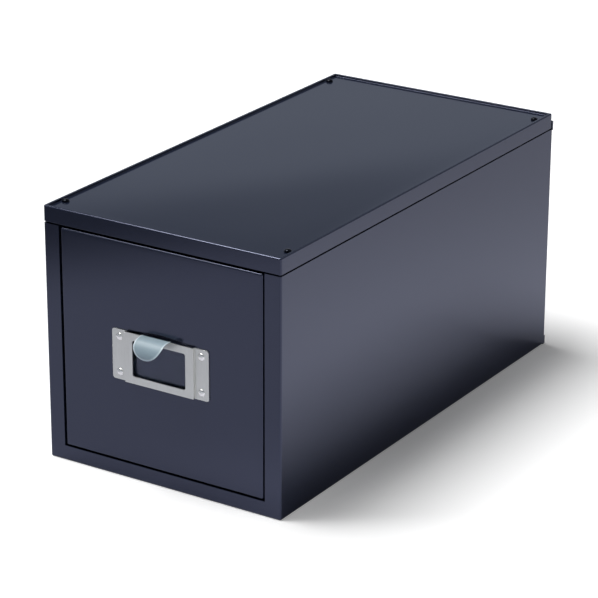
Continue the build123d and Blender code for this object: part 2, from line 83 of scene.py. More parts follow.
# What gloss mirrors, by the sine of the elevation
WORLD_STOPS = ((0.0, 0.80), (0.16, 0.50), (0.285, 0.36), (0.318, 0.50), (0.355, 0.04), (0.45, 0.26),
               (1.0, 0.45))

# Key lamp: metres and watts
KEY_PLACE = (-0.73, -0.25, 2.40)
KEY_TARGET = (0, 0, 0.08)
KEY_SIZE = 1.3
KEY_POWER = 71.0

# Sheets and bends
CASE_SHEET = 0.8
SHEET_EDGE = 0.12  # a cut edge is broken by this much
SKIRT_ROUND = 0.2  # the rounding of a pan's free edge
LEAST_CORNER = 0.2  # of a pan's inner rings, which are otherwise concentric
CORNER_STEPS = 6
SHARP_ANGLE = 35.0  # degrees between faces, past which their shading breaks
BEVEL_ANGLE = 50.0
MERGE_DISTANCE = 0.002

# Cover
COVER_CORNER = 1.3
RIM_WIDTH = 2.0
RIM_RISE = 1.4
RIM_ROUND = 0.8
RIM_INNER_ROUND = 0.12
TRAY_ROUND = 0.15
TRAY_UNDER_ROUND = 0.4
TRAY_BORDER = 5.0  # the flat band of the tray beside the rim
TRAY_CROWN = 0.5
TRAY_WAVE = 0.12
TRAY_WAVES = (150.0, 230.0)  # lengths of the sheet's slight waves across and along the box

# Drawer front
FRONT_BEND = 1.2
FRONT_CORNER = 1.2
FRONT_BORDER = 4.0
RECESS_DEPTH = 2.4
RECESS_INSET = 0.95
RECESS_FOOT = 5.7
RECESS_SHOULDER = 1.0
RECESS_CROWN = 1.8
RECESS_CORNER = 2.3
RECESS_WALL = 1.8
RECESS_LEAD = 0.3  # the wall starts this far outside the outline
RECESS_BAND = (1.0, 3.0)  # the mesh is finer from the first outside each side to the second inside it

# Label holder
HOLDER_TAB = 10.05
HOLDER_CORNER = 1.8
HOLDER_BEND = 0.35
HOLDER_INNER_BEND = 0.15
WINDOW_SIDE = 5.7
WINDOW_BORDER = 4.6
WINDOW_CORNER = 1.5
RIVET_R = 2.4
RIVET_RISE = 1.1
RIVET_WALL = 0.12
RIVET_FOOT = 0.3

# Studs
STUD_R = 2.2
STUD_RISE = 1.8
STUD_FOOT = 0.3
STUD_HEAD_R = 2.35
STUD_FULL = 0.85  # the power that makes a head fuller than an ellipsoid

# Film
FILM_COLOUR = (0.36, 0.47, 0.53)
# Painted highlight on the tongue's edge: its colour, the rim value where it starts, and what it adds
FILM_HIGHLIGHT_COLOUR = (0.85, 0.92, 0.95)
FILM_ALPHAS = (0.015, 0.72)
FILM_HIGHLIGHT_START = 0.88
FILM_EDGE_HIGHLIGHT = 0.5
FILM_CLEAR = 0.5  # the film is clear this far in front of its rear face, and milky from the next value on
FILM_MILKY = 2.0
FILM = 0.3
FILM_FOLD = 0.45
TONGUE_WIDTH = 20.3
TONGUE_X = -1.8
TONGUE_CURL = 9.7
TONGUE_TIP = 9.6  # below the holder's top edge
TONGUE_NECK = 0.02  # length over which the sheet narrows to the tongue


def corners(node):
    """Lowest and highest corner of a CAD node, in millimetres."""
    low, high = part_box(node)
    return np.array(low) / MM, np.array(high) / MM


# Surfaces


def bent_line(points, radii, steps=CORNER_STEPS):
    """Points along straight runs joined by arcs.

    A corner's arc has its centre on the line that halves the corner's angle, radius / sin(half the angle)
    from the corner. Its points turn at equal angles from the end of one run to the start of the next.
    """
    points = np.asarray(points, float)
    t = np.linspace(0, 1, steps + 1)[:, None]
    pieces = [points[:1]]
    for before, corner, after, radius in zip(points, points[1:], points[2:], radii):
        back = (before - corner) / np.linalg.norm(before - corner)
        on = (after - corner) / np.linalg.norm(after - corner)
        half = np.arccos(np.clip(back @ on, -1, 1)) / 2
        turn = pi - 2 * half
        centre = corner + (back + on) / np.linalg.norm(back + on) * radius / sin(half)
        start = corner + back * radius / np.tan(half) - centre
        end = corner + on * radius / np.tan(half) - centre
        pieces.append(centre + (np.sin((1 - t) * turn) * start + np.sin(t * turn) * end) / sin(turn))
    return np.vstack(pieces + [points[-1:]])


def rounded_rings(low, high, insets, radii, across, upward, steps=CORNER_STEPS):
    """Rounded rectangles inside two corners, one for each inset, anticlockwise from the low corner.

    A side's points lie at the given shares of its straight run, and a corner's points at equal turns of a
    quarter circle, so that every ring has as many points as the others.
    """
    inset, r = np.asarray(insets, float)[:, None], np.asarray(radii, float)[:, None]
    u0, v0 = low[0] + inset + r, low[1] + inset + r
    u1, v1 = high[0] - inset - r, high[1] - inset - r
    turn = np.linspace(0, pi / 2, steps + 1)[None, 1:-1]
    a, b = across[None], upward[None]
    runs = [
        (u0 + (u1 - u0) * a, v0 - r + 0 * a),
        (u1 + r * np.sin(turn), v0 - r * np.cos(turn)),
        (u1 + r + 0 * b, v0 + (v1 - v0) * b),
        (u1 + r * np.cos(turn), v1 + r * np.sin(turn)),
        (u0 + (u1 - u0) * a[:, ::-1], v1 + r + 0 * a),
        (u0 - r * np.sin(turn), v1 + r * np.cos(turn)),
        (u0 - r + 0 * b, v0 + (v1 - v0) * b[:, ::-1]),
        (u0 - r * np.cos(turn), v0 - r * np.sin(turn)),
    ]
    return np.stack([np.hstack([run[k] for run in runs]) for k in (0, 1)], axis=2)


def patch(low, high, inset, across, upward):
    """Grid of points that fills the rectangle inside an inset, at the same shares as the rings round it."""
    u = low[0] + inset + (high[0] - low[0] - 2 * inset) * across
    v = low[1] + inset + (high[1] - low[1] - 2 * inset) * upward
    return np.stack(np.meshgrid(u, v, indexing="ij"), axis=2)


def quads(rows, columns, first, closed):
    """Corner numbers of the faces between neighbouring rows and columns of a grid."""
    j = np.arange(columns if closed else columns - 1)
    i = np.arange(rows - 1)[:, None]
    k = (j + 1) % columns
    return first + np.stack([i * columns + j, i * columns + k, (i + 1) * columns + k, (i + 1) * columns + j],
                            axis=2).reshape(-1, 4)


def new_piece(name, grids, facing=None, rim=None):
    """Mesh object from grids of points in millimetres, each with a flag that says if its columns close.

    Points that coincide are merged. A closed shell has its faces turned outwards, and an open sheet has them
    turned towards the facing direction. The rim gives each point a value, kept under that name.
    """
    points, faces, first = [], [], 0
    for grid, closed in grids:
        rows, columns = grid.shape[:2]
        points.append(grid.reshape(-1, 3) * MM)
        faces.append(quads(rows, columns, first, closed))
        first += rows * columns
    mesh = bpy.data.meshes.new(name)
    mesh.from_pydata(np.vstack(points), [], np.vstack(faces).tolist())
    if rim is not None:
        mesh.attributes.new("rim", "FLOAT", "POINT").data.foreach_set("value", rim.ravel())
    clean_mesh(mesh)
    mesh.update()
    if facing is not None:
        normals = np.zeros(len(mesh.polygons) * 3)
        areas = np.zeros(len(mesh.polygons))
        mesh.polygons.foreach_get("normal", normals)
        mesh.polygons.foreach_get("area", areas)
        if (normals.reshape(-1, 3) * areas[:, None]).sum(0) @ np.array(facing) < 0:
            mesh.flip_normals()
    mesh.shade_smooth()
    mesh.set_sharp_from_angle(angle=radians(SHARP_ANGLE))
    piece = bpy.data.objects.new(name, mesh)
    bpy.context.scene.collection.objects.link(piece)
    return piece


def clean_mesh(mesh):
    """Merges coinciding points, drops faces with no area and makes the faces agree on their side."""
    work = bmesh.new()
    work.from_mesh(mesh)
    bmesh.ops.remove_doubles(work, verts=work.verts, dist=MERGE_DISTANCE * MM)
    bmesh.ops.dissolve_degenerate(work, edges=work.edges, dist=1e-7)
    bmesh.ops.recalc_face_normals(work, faces=work.faces)
    work.to_mesh(mesh)
    work.free()


def finish_piece(piece, body, material, stands_for, wall=0.0, offset=-1.0, edge=0.0):
    """Gives a piece its wall, its broken edges, its finish and its place in the assembly."""
    if wall:
        solid = piece.modifiers.new("wall", "SOLIDIFY")
        solid.thickness = wall * MM
        solid.offset = offset
        solid.use_even_offset = True
        solid.use_quality_normals = True
    if edge:
        bevel = piece.modifiers.new("edge", "BEVEL")
        bevel.width = edge * MM
        bevel.segments = 2
        bevel.limit_method = "ANGLE"
        bevel.angle_limit = radians(BEVEL_ANGLE)
    weighted = piece.modifiers.new("normals", "WEIGHTED_NORMAL")
    weighted.mode = "FACE_AREA"
    weighted.weight = 100
    weighted.keep_sharp = False
    piece.data.materials.append(material)
    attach(piece, body)
    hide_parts(*stands_for)


def pressed_pan(name, low, high, section, corner, across, upward, relief, place):
    """Closed shell of a pan: one section carried round a rectangle, and a patch on each of its two faces.

    The section's points are (inset from the outer wall, level). Its first point lies on the inner face, and
    its last on the outer one. The relief moves both patches along the pan's level by a function of the two
    parameters. The place function takes the two parameters and the level to X, Y and Z.
    """
    inset, level = section[:, 0], section[:, 1]
    radii = np.clip(corner - inset, LEAST_CORNER, None)
    radii[[0, -1]] = 0
    rings = rounded_rings(low, high, inset, radii, across, upward)
    grids = [(place(rings[..., 0], rings[..., 1], level[:, None] + 0 * rings[..., 0]), True)]
    for end in (0, -1):
        flat = patch(low, high, inset[end], across, upward)
        u, v = flat[..., 0], flat[..., 1]
        grids.append((place(u, v, level[end] + relief(u, v)), False))
    return new_piece(name, grids)


def turned(place, outward, profile, segments=32):
    """Grid of a turned shape: a profile of (radius, height) carried round the outward axis from its place."""
    out = np.array(outward, float)
    side = np.array([0, 1, 0]) if abs(out[1]) < 0.5 else np.array([1, 0, 0])
    other = np.cross(out, side)
    angle = np.linspace(0, 2 * pi, segments, endpoint=False)[None, :, None]
    r, h = profile[:, 0][:, None, None], profile[:, 1][:, None, None]
    return np.array(place) + r * (np.cos(angle) * side + np.sin(angle) * other) + h * out


def dome_profile(radius, rise, foot, wall, steps=10):
    """Half profile of a domed head: the cap of a sphere on a straight wall, down to a foot under the face."""
    cap_r = (radius ** 2 + (rise - wall) ** 2) / (2 * (rise - wall))
    angle = np.linspace(0, np.arcsin(min(1.0, radius / cap_r)), steps)
    cap = np.stack([cap_r * np.sin(angle), rise - cap_r + cap_r * np.cos(angle)], axis=1)
    return np.vstack([cap, [(radius, 0), (radius, -foot), (0, -foot)]])


def smooth_step(t):
    """Rises from 0 to 1 as 3 t squared less 2 t cubed."""
    t = np.clip(t, 0, 1)
    return t * t * (3 - 2 * t)


# Materials


def node_tree_of(material):
    """Node tree of a material, with its Principled shader's node."""
    material.use_nodes = True
    tree = material.node_tree
    return tree, tree.nodes["Principled BSDF"]


def add_node(tree, kind, **values):
    """New node with some of its inputs or properties set."""
    node = tree.nodes.new(kind)
    for key, value in values.items():
        if key in node.inputs:
            node.inputs[key].default_value = value
        else:
            setattr(node, key, value)
    return node


def socket(group, name, kind, side, value=None):
    """New socket on the outside of a node group."""
    made = group.interface.new_socket(name=name, in_out=side, socket_type=kind)
    if value is not None:
        made.default_value = value
    return made


def surface_grain_group():
    """Node group of a fine surface: a soft tone over the whole piece, a fine grain and its height.

    The grain may be longer along one axis, as brushing is. The tone scales the colour, and both move the
    roughness.
    """
    group = bpy.data.node_groups.new("surface_grain", "ShaderNodeTree")
    socket(group, "Colour", "NodeSocketColor", "INPUT")
    socket(group, "Roughness", "NodeSocketFloat", "INPUT", 0.4)
    socket(group, "Grain Scale", "NodeSocketVector", "INPUT")
    socket(group, "Tone Scale", "NodeSocketFloat", "INPUT", 12.0)
    socket(group, "Tone Strength", "NodeSocketFloat", "INPUT", 0.08)
    socket(group, "Grain Strength", "NodeSocketFloat", "INPUT", 0.05)
    socket(group, "Colour", "NodeSocketColor", "OUTPUT")
    socket(group, "Roughness", "NodeSocketFloat", "OUTPUT")
    socket(group, "Height", "NodeSocketFloat", "OUTPUT")
    tree, link = group, group.links.new
    enter, leave = tree.nodes.new("NodeGroupInput"), tree.nodes.new("NodeGroupOutput")
    where = tree.nodes.new("ShaderNodeTexCoord")
    stretch = add_node(tree, "ShaderNodeVectorMath", operation="MULTIPLY")
    link(where.outputs["Object"], stretch.inputs[0])
    link(enter.outputs["Grain Scale"], stretch.inputs[1])
    grain = add_node(tree, "ShaderNodeTexNoise", Scale=1.0, Detail=3.0, Roughness=0.55)
    link(stretch.outputs[0], grain.inputs["Vector"])
    tone = add_node(tree, "ShaderNodeTexNoise", Detail=2.0, Roughness=0.5)
    link(where.outputs["Object"], tone.inputs["Vector"])
    link(enter.outputs["Tone Scale"], tone.inputs["Scale"])

    def centred(source, strength):
        """Noise less its middle, times a strength."""
        less = add_node(tree, "ShaderNodeMath", operation="SUBTRACT")
        less.inputs[1].default_value = 0.5
        link(source, less.inputs[0])
        times = add_node(tree, "ShaderNodeMath", operation="MULTIPLY")
        link(less.outputs[0], times.inputs[0])
        link(strength, times.inputs[1])
        return times.outputs[0]

    tone_part = centred(tone.outputs["Fac"], enter.outputs["Tone Strength"])
    grain_part = centred(grain.outputs["Fac"], enter.outputs["Grain Strength"])
    both = add_node(tree, "ShaderNodeMath", operation="ADD")
    link(tone_part, both.inputs[0])
    link(grain_part, both.inputs[1])
    scale = add_node(tree, "ShaderNodeMath", operation="ADD")
    scale.inputs[1].default_value = 1.0
    link(both.outputs[0], scale.inputs[0])
    colour = add_node(tree, "ShaderNodeVectorMath", operation="SCALE")
    link(enter.outputs["Colour"], colour.inputs[0])
    link(scale.outputs[0], colour.inputs["Scale"])
    rough = add_node(tree, "ShaderNodeMath", operation="MULTIPLY", use_clamp=True)
    link(enter.outputs["Roughness"], rough.inputs[0])
    link(scale.outputs[0], rough.inputs[1])
    link(colour.outputs[0], leave.inputs["Colour"])
    link(rough.outputs[0], leave.inputs["Roughness"])
    link(grain.outputs["Fac"], leave.inputs["Height"])
    return group


surface_grain = surface_grain_group()


def finish_material(name, colour, roughness, grain, tone, relief, **shader_values):
    """Material with the surface grain on it.

    The grain is (scales along X, Y and Z per metre, strength), the tone (scale, strength) and the relief the
    height of the grain in millimetres.
    """
    material = bpy.data.materials.new(name)
    tree, shader = node_tree_of(material)
    link = tree.links.new
    surface = add_node(tree, "ShaderNodeGroup", node_tree=surface_grain)
    surface.inputs["Colour"].default_value = (*colour, 1)
    surface.inputs["Roughness"].default_value = roughness
    surface.inputs["Grain Scale"].default_value = grain[0]
    surface.inputs["Grain Strength"].default_value = grain[1]
    surface.inputs["Tone Scale"].default_value = tone[0]
    surface.inputs["Tone Strength"].default_value = tone[1]
    link(surface.outputs["Colour"], shader.inputs["Base Color"])
    link(surface.outputs["Roughness"], shader.inputs["Roughness"])
    bump = add_node(tree, "ShaderNodeBump", Strength=1.0, Distance=relief * MM)
    link(surface.outputs["Height"], bump.inputs["Height"])
    link(bump.outputs["Normal"], shader.inputs["Normal"])
    for key, value in shader_values.items():
        shader.inputs[key.replace("_", " ")].default_value = value
    return material


def film_material():
    """Clear film: almost unseen where it lies flat in the holder, and milky in the tongue bent forward.

    The tongue's outer edge has a painted highlight: it is paler and denser than its middle, where the rim
    value nears one.
    """
    material = finish_material("clear_film", FILM_COLOUR, 0.38, ((300, 300, 300), 0.06), (60.0, 0.30), 0.002)
    tree, shader = node_tree_of(material)
    link = tree.links.new
    where = tree.nodes.new("ShaderNodeTexCoord")
    split = tree.nodes.new("ShaderNodeSeparateXYZ")
    link(where.outputs["Object"], split.inputs[0])
    bent = add_node(tree, "ShaderNodeMapRange", interpolation_type="SMOOTHSTEP")
    sheet_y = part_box("label_film")[1][1]
    bent.inputs["From Min"].default_value = sheet_y - FILM_CLEAR * MM
    bent.inputs["From Max"].default_value = sheet_y - FILM_MILKY * MM
    bent.inputs["To Min"].default_value, bent.inputs["To Max"].default_value = FILM_ALPHAS
    link(split.outputs["Y"], bent.inputs["Value"])
    # Painted highlight: near the tongue's edge the film is made denser and paler
    rim = add_node(tree, "ShaderNodeAttribute", attribute_name="rim")
    edge = add_node(tree, "ShaderNodeMapRange", interpolation_type="SMOOTHSTEP")
    edge.inputs["From Min"].default_value, edge.inputs["From Max"].default_value = FILM_HIGHLIGHT_START, 1.0
    edge.inputs["To Max"].default_value = FILM_EDGE_HIGHLIGHT
    link(rim.outputs["Fac"], edge.inputs["Value"])
    alpha = add_node(tree, "ShaderNodeMath", operation="ADD", use_clamp=True)
    link(bent.outputs["Result"], alpha.inputs[0])
    link(edge.outputs["Result"], alpha.inputs[1])
    link(alpha.outputs[0], shader.inputs["Alpha"])
    painted_highlight = add_node(tree, "ShaderNodeMix", data_type="RGBA")
    link(edge.outputs["Result"], painted_highlight.inputs["Factor"])
    link(shader.inputs["Base Color"].links[0].from_socket, painted_highlight.inputs[6])
    painted_highlight.inputs[7].default_value = (*FILM_HIGHLIGHT_COLOUR, 1)
    link(painted_highlight.outputs[2], shader.inputs["Base Color"])
    return material


paint = finish_material("painted_steel", (0.008, 0.0115, 0.024), 0.13, ((700, 700, 700), 0.05), (9.0, 0.10),
                        0.002, IOR=1.76, Specular_Tint=(0.68, 0.72, 1.0, 1))
satin = finish_material("satin_steel", (0.68, 0.68, 0.64), 0.36, ((2600, 2600, 90), 0.18), (60.0, 0.10),
                        0.002, Metallic=1.0)
bright = finish_material("bright_steel", (0.96, 0.94, 0.90), 0.25, ((900, 900, 900), 0.10), (60.0, 0.06),
                         0.001, Metallic=1.0)
nylon = finish_material("nylon", (0.72, 0.71, 0.66), 0.48, ((500, 500, 500), 0.06), (40.0, 0.05), 0.006)
rubber = finish_material("rubber_black", (0.02, 0.02, 0.02), 0.75, ((1500, 1500, 1500), 0.15), (60.0, 0.08),
                         0.02)
black = finish_material("black_plastic", (0.001, 0.001, 0.003), 0.07, ((400, 400, 400), 0.05), (60.0, 0.05),
                        0.001, Specular_IOR_Level=0.12, Specular_Tint=(0.75, 0.85, 1.0, 1))
film = film_material()
materials = {"painted_steel": paint, "satin_steel": satin, "bright_steel": bright, "nylon": nylon,
             "rubber_black": rubber, "black_plastic": black, "clear_film": film}


# Pieces of the case


def shares(low, high, *bands):
    """Shares from 0 to 1 at evenly spaced places, each band given as (its upper end, the steps to it)."""
    places, start = [np.array([low])], low
    for end, steps in bands:
        places.append(np.linspace(start, end, steps + 1)[1:])
        start = end
    return (np.concatenate(places) - low) / (high - low)


def make_cover():
    """Cover: a skirt, a rolled rim and a sunk tray.

    The tray is crowned by (1 - a squared)(1 - b squared), with a and b from -1 to 1 across it and along it.
    The crown is uneven by a slight wave, the sine of the way across times the cosine of the way along.
    """
    low, high = corners("top_cover")
    tray_z = high[2] - RIM_RISE
    section = bent_line([
        (TRAY_BORDER, tray_z - CASE_SHEET), (CASE_SHEET, tray_z - CASE_SHEET), (CASE_SHEET, low[2]),
        (0, low[2]), (0, high[2]), (RIM_WIDTH, high[2]), (RIM_WIDTH, tray_z), (TRAY_BORDER, tray_z),
    ], [TRAY_UNDER_ROUND, SKIRT_ROUND, SKIRT_ROUND, RIM_ROUND, RIM_INNER_ROUND, TRAY_ROUND])
    middle, reach = (low + high)[:2] / 2, (high - low)[:2] / 2 - TRAY_BORDER

    def crown(x, y):
        a, b = (x - middle[0]) / reach[0], (y - middle[1]) / reach[1]
        wave = np.sin(2 * pi * x / TRAY_WAVES[0]) * np.cos(2 * pi * y / TRAY_WAVES[1])
        return (TRAY_CROWN + TRAY_WAVE * wave) * (1 - a ** 2) * (1 - b ** 2)

    even = np.linspace(0, 1, 25)
    cover = pressed_pan("cover", low, high, section, COVER_CORNER, even, np.linspace(0, 1, 41), crown,
                        lambda x, y, z: np.stack([x, y, z], axis=2))
    finish_piece(cover, "case", paint, ["top_cover"])


def make_studs():
    """Studs of the cover: four moulded domes with a short straight foot.

    A dome's radius goes by the sine and its height by the cosine of the way down it, both raised to one
    power. The power is below one, so that the dome is fuller than half an ellipsoid.
    """
    low, high = corners("cover_studs")
    foot_z = high[2] - STUD_RISE
    xs, ys = (low[0] + STUD_R, high[0] - STUD_R), (low[1] + STUD_R, high[1] - STUD_R)
    t = np.linspace(0, pi / 2, 18)
    head = np.stack([STUD_HEAD_R * np.sin(t) ** STUD_FULL, STUD_RISE * np.cos(t) ** STUD_FULL], axis=1)
    profile = np.vstack([head, [(STUD_HEAD_R, -STUD_FOOT), (0, -STUD_FOOT)]])
    grids = [(turned((x, y, foot_z), (0, 0, 1), profile), True) for x in xs for y in ys]
    finish_piece(new_piece("studs", grids), "case", black, ["cover_studs"])


# Pieces of the drawer


def make_drawer_front():
    """Drawer front: a pan with rolled edges and a finger recess pressed into it.

    The recess lies inside three walls: two sides, a flat foot and an arch. With w the distance inside each
    wall and c the corner radius, the distance inside all is c less the length of (c - w) over the walls
    that are nearer than c. The depth rises over that distance as a smooth step.
    """
    low, high = corners("drawer_front")
    hold_low, hold_high = corners("label_holder")
    face, back = -low[1], -high[1]
    section = bent_line([
        (FRONT_BORDER, face - CASE_SHEET), (CASE_SHEET, face - CASE_SHEET), (CASE_SHEET, back), (0, back),
        (0, face), (FRONT_BORDER, face),
    ], [FRONT_BEND - CASE_SHEET, SKIRT_ROUND, SKIRT_ROUND, FRONT_BEND])
    side = (hold_high[0] - hold_low[0]) / 2 - HOLDER_TAB - RECESS_INSET
    foot = hold_high[2] - RECESS_FOOT
    shoulder, crown = hold_high[2] - RECESS_SHOULDER, hold_high[2] + RECESS_CROWN
    arch_r = (side ** 2 + (crown - shoulder) ** 2) / (2 * (crown - shoulder))

    def recess(x, z):
        walls = np.stack([side - np.abs(x), z - foot, arch_r - np.hypot(x, z - (crown - arch_r))])
        inside = RECESS_CORNER - np.linalg.norm(np.clip(RECESS_CORNER - walls, 0, None), axis=0)
        return -RECESS_DEPTH * smooth_step((inside + RECESS_LEAD) / RECESS_WALL)

    u0, u1 = low[0] + FRONT_BORDER, high[0] - FRONT_BORDER
    v0, v1 = low[2] + FRONT_BORDER, high[2] - FRONT_BORDER
    past, within = RECESS_BAND
    across = shares(u0, u1, (-side - past, 8), (within - side, 9), (side - within, 30), (side + past, 9),
                    (u1, 8))
    upward = shares(v0, v1, (foot - past, 14), (crown + past, 44), (v1, 10))
    front = pressed_pan("drawer_front_pan", low[[0, 2]], high[[0, 2]], section, FRONT_CORNER, across, upward,
                        recess, lambda x, z, level: np.stack([x, -level, z], axis=2))
    finish_piece(front, "drawer", paint, ["drawer_front"])


def make_label_holder():
    """Label holder: a flat ring round the window, and a joggled tab at each side, as one sheet.

    Between the window's rounded outline and the ring's outer rectangle the rows are evenly spaced. A tab's
    columns follow the joggled line, and its rows keep inside the rounded corners at its end.
    """
    low, high = corners("label_holder")
    middle_z, half_z, end_x = (low[2] + high[2]) / 2, (high[2] - low[2]) / 2, high[0]
    face_y, back_y = low[1], high[1]
    step_x = end_x - HOLDER_TAB
    ring_x = step_x - 2 * HOLDER_BEND
    across, upward = np.linspace(0, 1, 15), np.linspace(0, 1, 11)
    outer = rounded_rings((-ring_x, low[2]), (ring_x, high[2]), [0], [0], across, upward)[0]
    window_x, window_z = step_x - WINDOW_SIDE, half_z - WINDOW_BORDER
    inner = rounded_rings((-window_x, middle_z - window_z), (window_x, middle_z + window_z), [0],
                          [WINDOW_CORNER], across, upward)[0]
    t = np.linspace(0, 1, 4)[:, None, None]
    ring = outer * (1 - t) + inner * t
    grids = [(np.stack([ring[..., 0], face_y + 0 * ring[..., 0], ring[..., 1]], axis=2), True)]
    tab_y = back_y - CASE_SHEET
    line = bent_line([(ring_x, face_y), (step_x, face_y), (step_x, tab_y), (end_x - HOLDER_CORNER, tab_y)],
                     [HOLDER_BEND, HOLDER_INNER_BEND])
    turn = np.linspace(0, pi / 2, 9)[1:]
    round_x = end_x - HOLDER_CORNER + HOLDER_CORNER * np.sin(turn)
    line = np.vstack([line, np.stack([round_x, tab_y + 0 * turn], axis=1)])
    cut = np.concatenate([np.zeros(len(line) - len(turn)), HOLDER_CORNER * (1 - np.cos(turn))])
    rows = np.linspace(-1, 1, 11)[None]
    z = middle_z + rows * (half_z - cut)[:, None]
    for side in (-1, 1):
        grids.append((np.stack([side * line[:, :1] + 0 * z, line[:, 1:] + 0 * z, z], axis=2), False))
    holder = new_piece("label_frame", grids, facing=(0, -1, 0))
    finish_piece(holder, "drawer", satin, ["label_holder"], wall=CASE_SHEET, edge=SHEET_EDGE)


def make_holder_rivets():
    """Rivets of the label holder: four turned domes."""
    low, high = corners("holder_rivets")
    tab_y = low[1] + RIVET_RISE
    xs, zs = (low[0] + RIVET_R, high[0] - RIVET_R), (low[2] + RIVET_R, high[2] - RIVET_R)
    profile = dome_profile(RIVET_R, RIVET_RISE, RIVET_FOOT, RIVET_WALL)
    grids = [(turned((x, tab_y, z), (0, -1, 0), profile), True) for x in xs for z in zs]
    finish_piece(new_piece("label_rivets", grids), "drawer", bright, ["holder_rivets"])


def make_film():
    """Label film: one sheet on a bent line up behind the window, over the top edge, forward and down.

    Its half width goes by the length along that line: the sheet, the tongue, and a half circle at the end. A
    point's rim value is how far it has come to the tongue's edge, as a share of the tongue's half width.
    """
    low, high = corners("label_film")
    holder_high = corners("label_holder")[1]
    back_y, tip_y = high[1] - FILM / 2, low[1] + FILM / 2
    fold_z = high[2] - FILM / 2
    tip_z = holder_high[2] - TONGUE_TIP
    line = bent_line([(back_y, low[2]), (back_y, fold_z), (tip_y, fold_z), (tip_y, tip_z)],
                     [FILM_FOLD, TONGUE_CURL], steps=16)
    length = np.concatenate([[0], np.cumsum(np.linalg.norm(np.diff(line, axis=0), axis=1))])
    total, neck = length[-1], holder_high[2] - CASE_SHEET - low[2]
    end_r, sheet_x = TONGUE_WIDTH / 2, high[0]
    turn = np.linspace(0, pi / 2, 29)[1:]
    s = np.concatenate([np.linspace(0, neck, 14), np.linspace(neck + TONGUE_NECK, total - end_r, 20),
                        total - end_r + end_r * np.sin(turn)])
    y, z = np.interp(s, length, line[:, 0]), np.interp(s, length, line[:, 1])
    past = np.clip(s - (total - end_r), 0, None)
    tongue = s > neck
    half = np.where(tongue, np.sqrt(np.clip(end_r ** 2 - past ** 2, 0, None)), sheet_x)
    centre = np.where(tongue, TONGUE_X, 0)
    q = np.sin(np.linspace(-pi / 2, pi / 2, 33))[None]
    x = centre[:, None] + q * half[:, None]
    grid = np.stack([x, y[:, None] + 0 * x, z[:, None] + 0 * x], axis=2)
    rim = np.hypot(past[:, None], x - centre[:, None]) / end_r * tongue[:, None]
    sheet = new_piece("film_sheet", [(grid, False)], facing=(0, -1, 0), rim=rim)
    finish_piece(sheet, "film", film, ["label_film"], wall=FILM, offset=0.0)


# Floor, lights and camera


def shade_ramp(tree, source, stops):
    """Socket with a grey shade that goes smoothly from stop to stop, each stop being (a value, a shade)."""
    places, shades = zip(*stops)
    first, last = places[0], places[-1]
    place = add_node(tree, "ShaderNodeMapRange")
    place.inputs["From Min"].default_value, place.inputs["From Max"].default_value = first, last
    tree.links.new(source, place.inputs["Value"])
    ramp = tree.nodes.new("ShaderNodeValToRGB")
    ramp.color_ramp.interpolation = "EASE"
    for extra in range(len(stops) - 2):
        ramp.color_ramp.elements.new((extra + 1) / len(stops))
    for stop, shade in zip(ramp.color_ramp.elements, shades):
        stop.color = (shade, shade, shade, 1)
    for stop, at in zip(ramp.color_ramp.elements, places):
        stop.position = (at - first) / (last - first)
    tree.links.new(place.outputs["Result"], ramp.inputs["Fac"])
    return ramp.outputs["Color"]


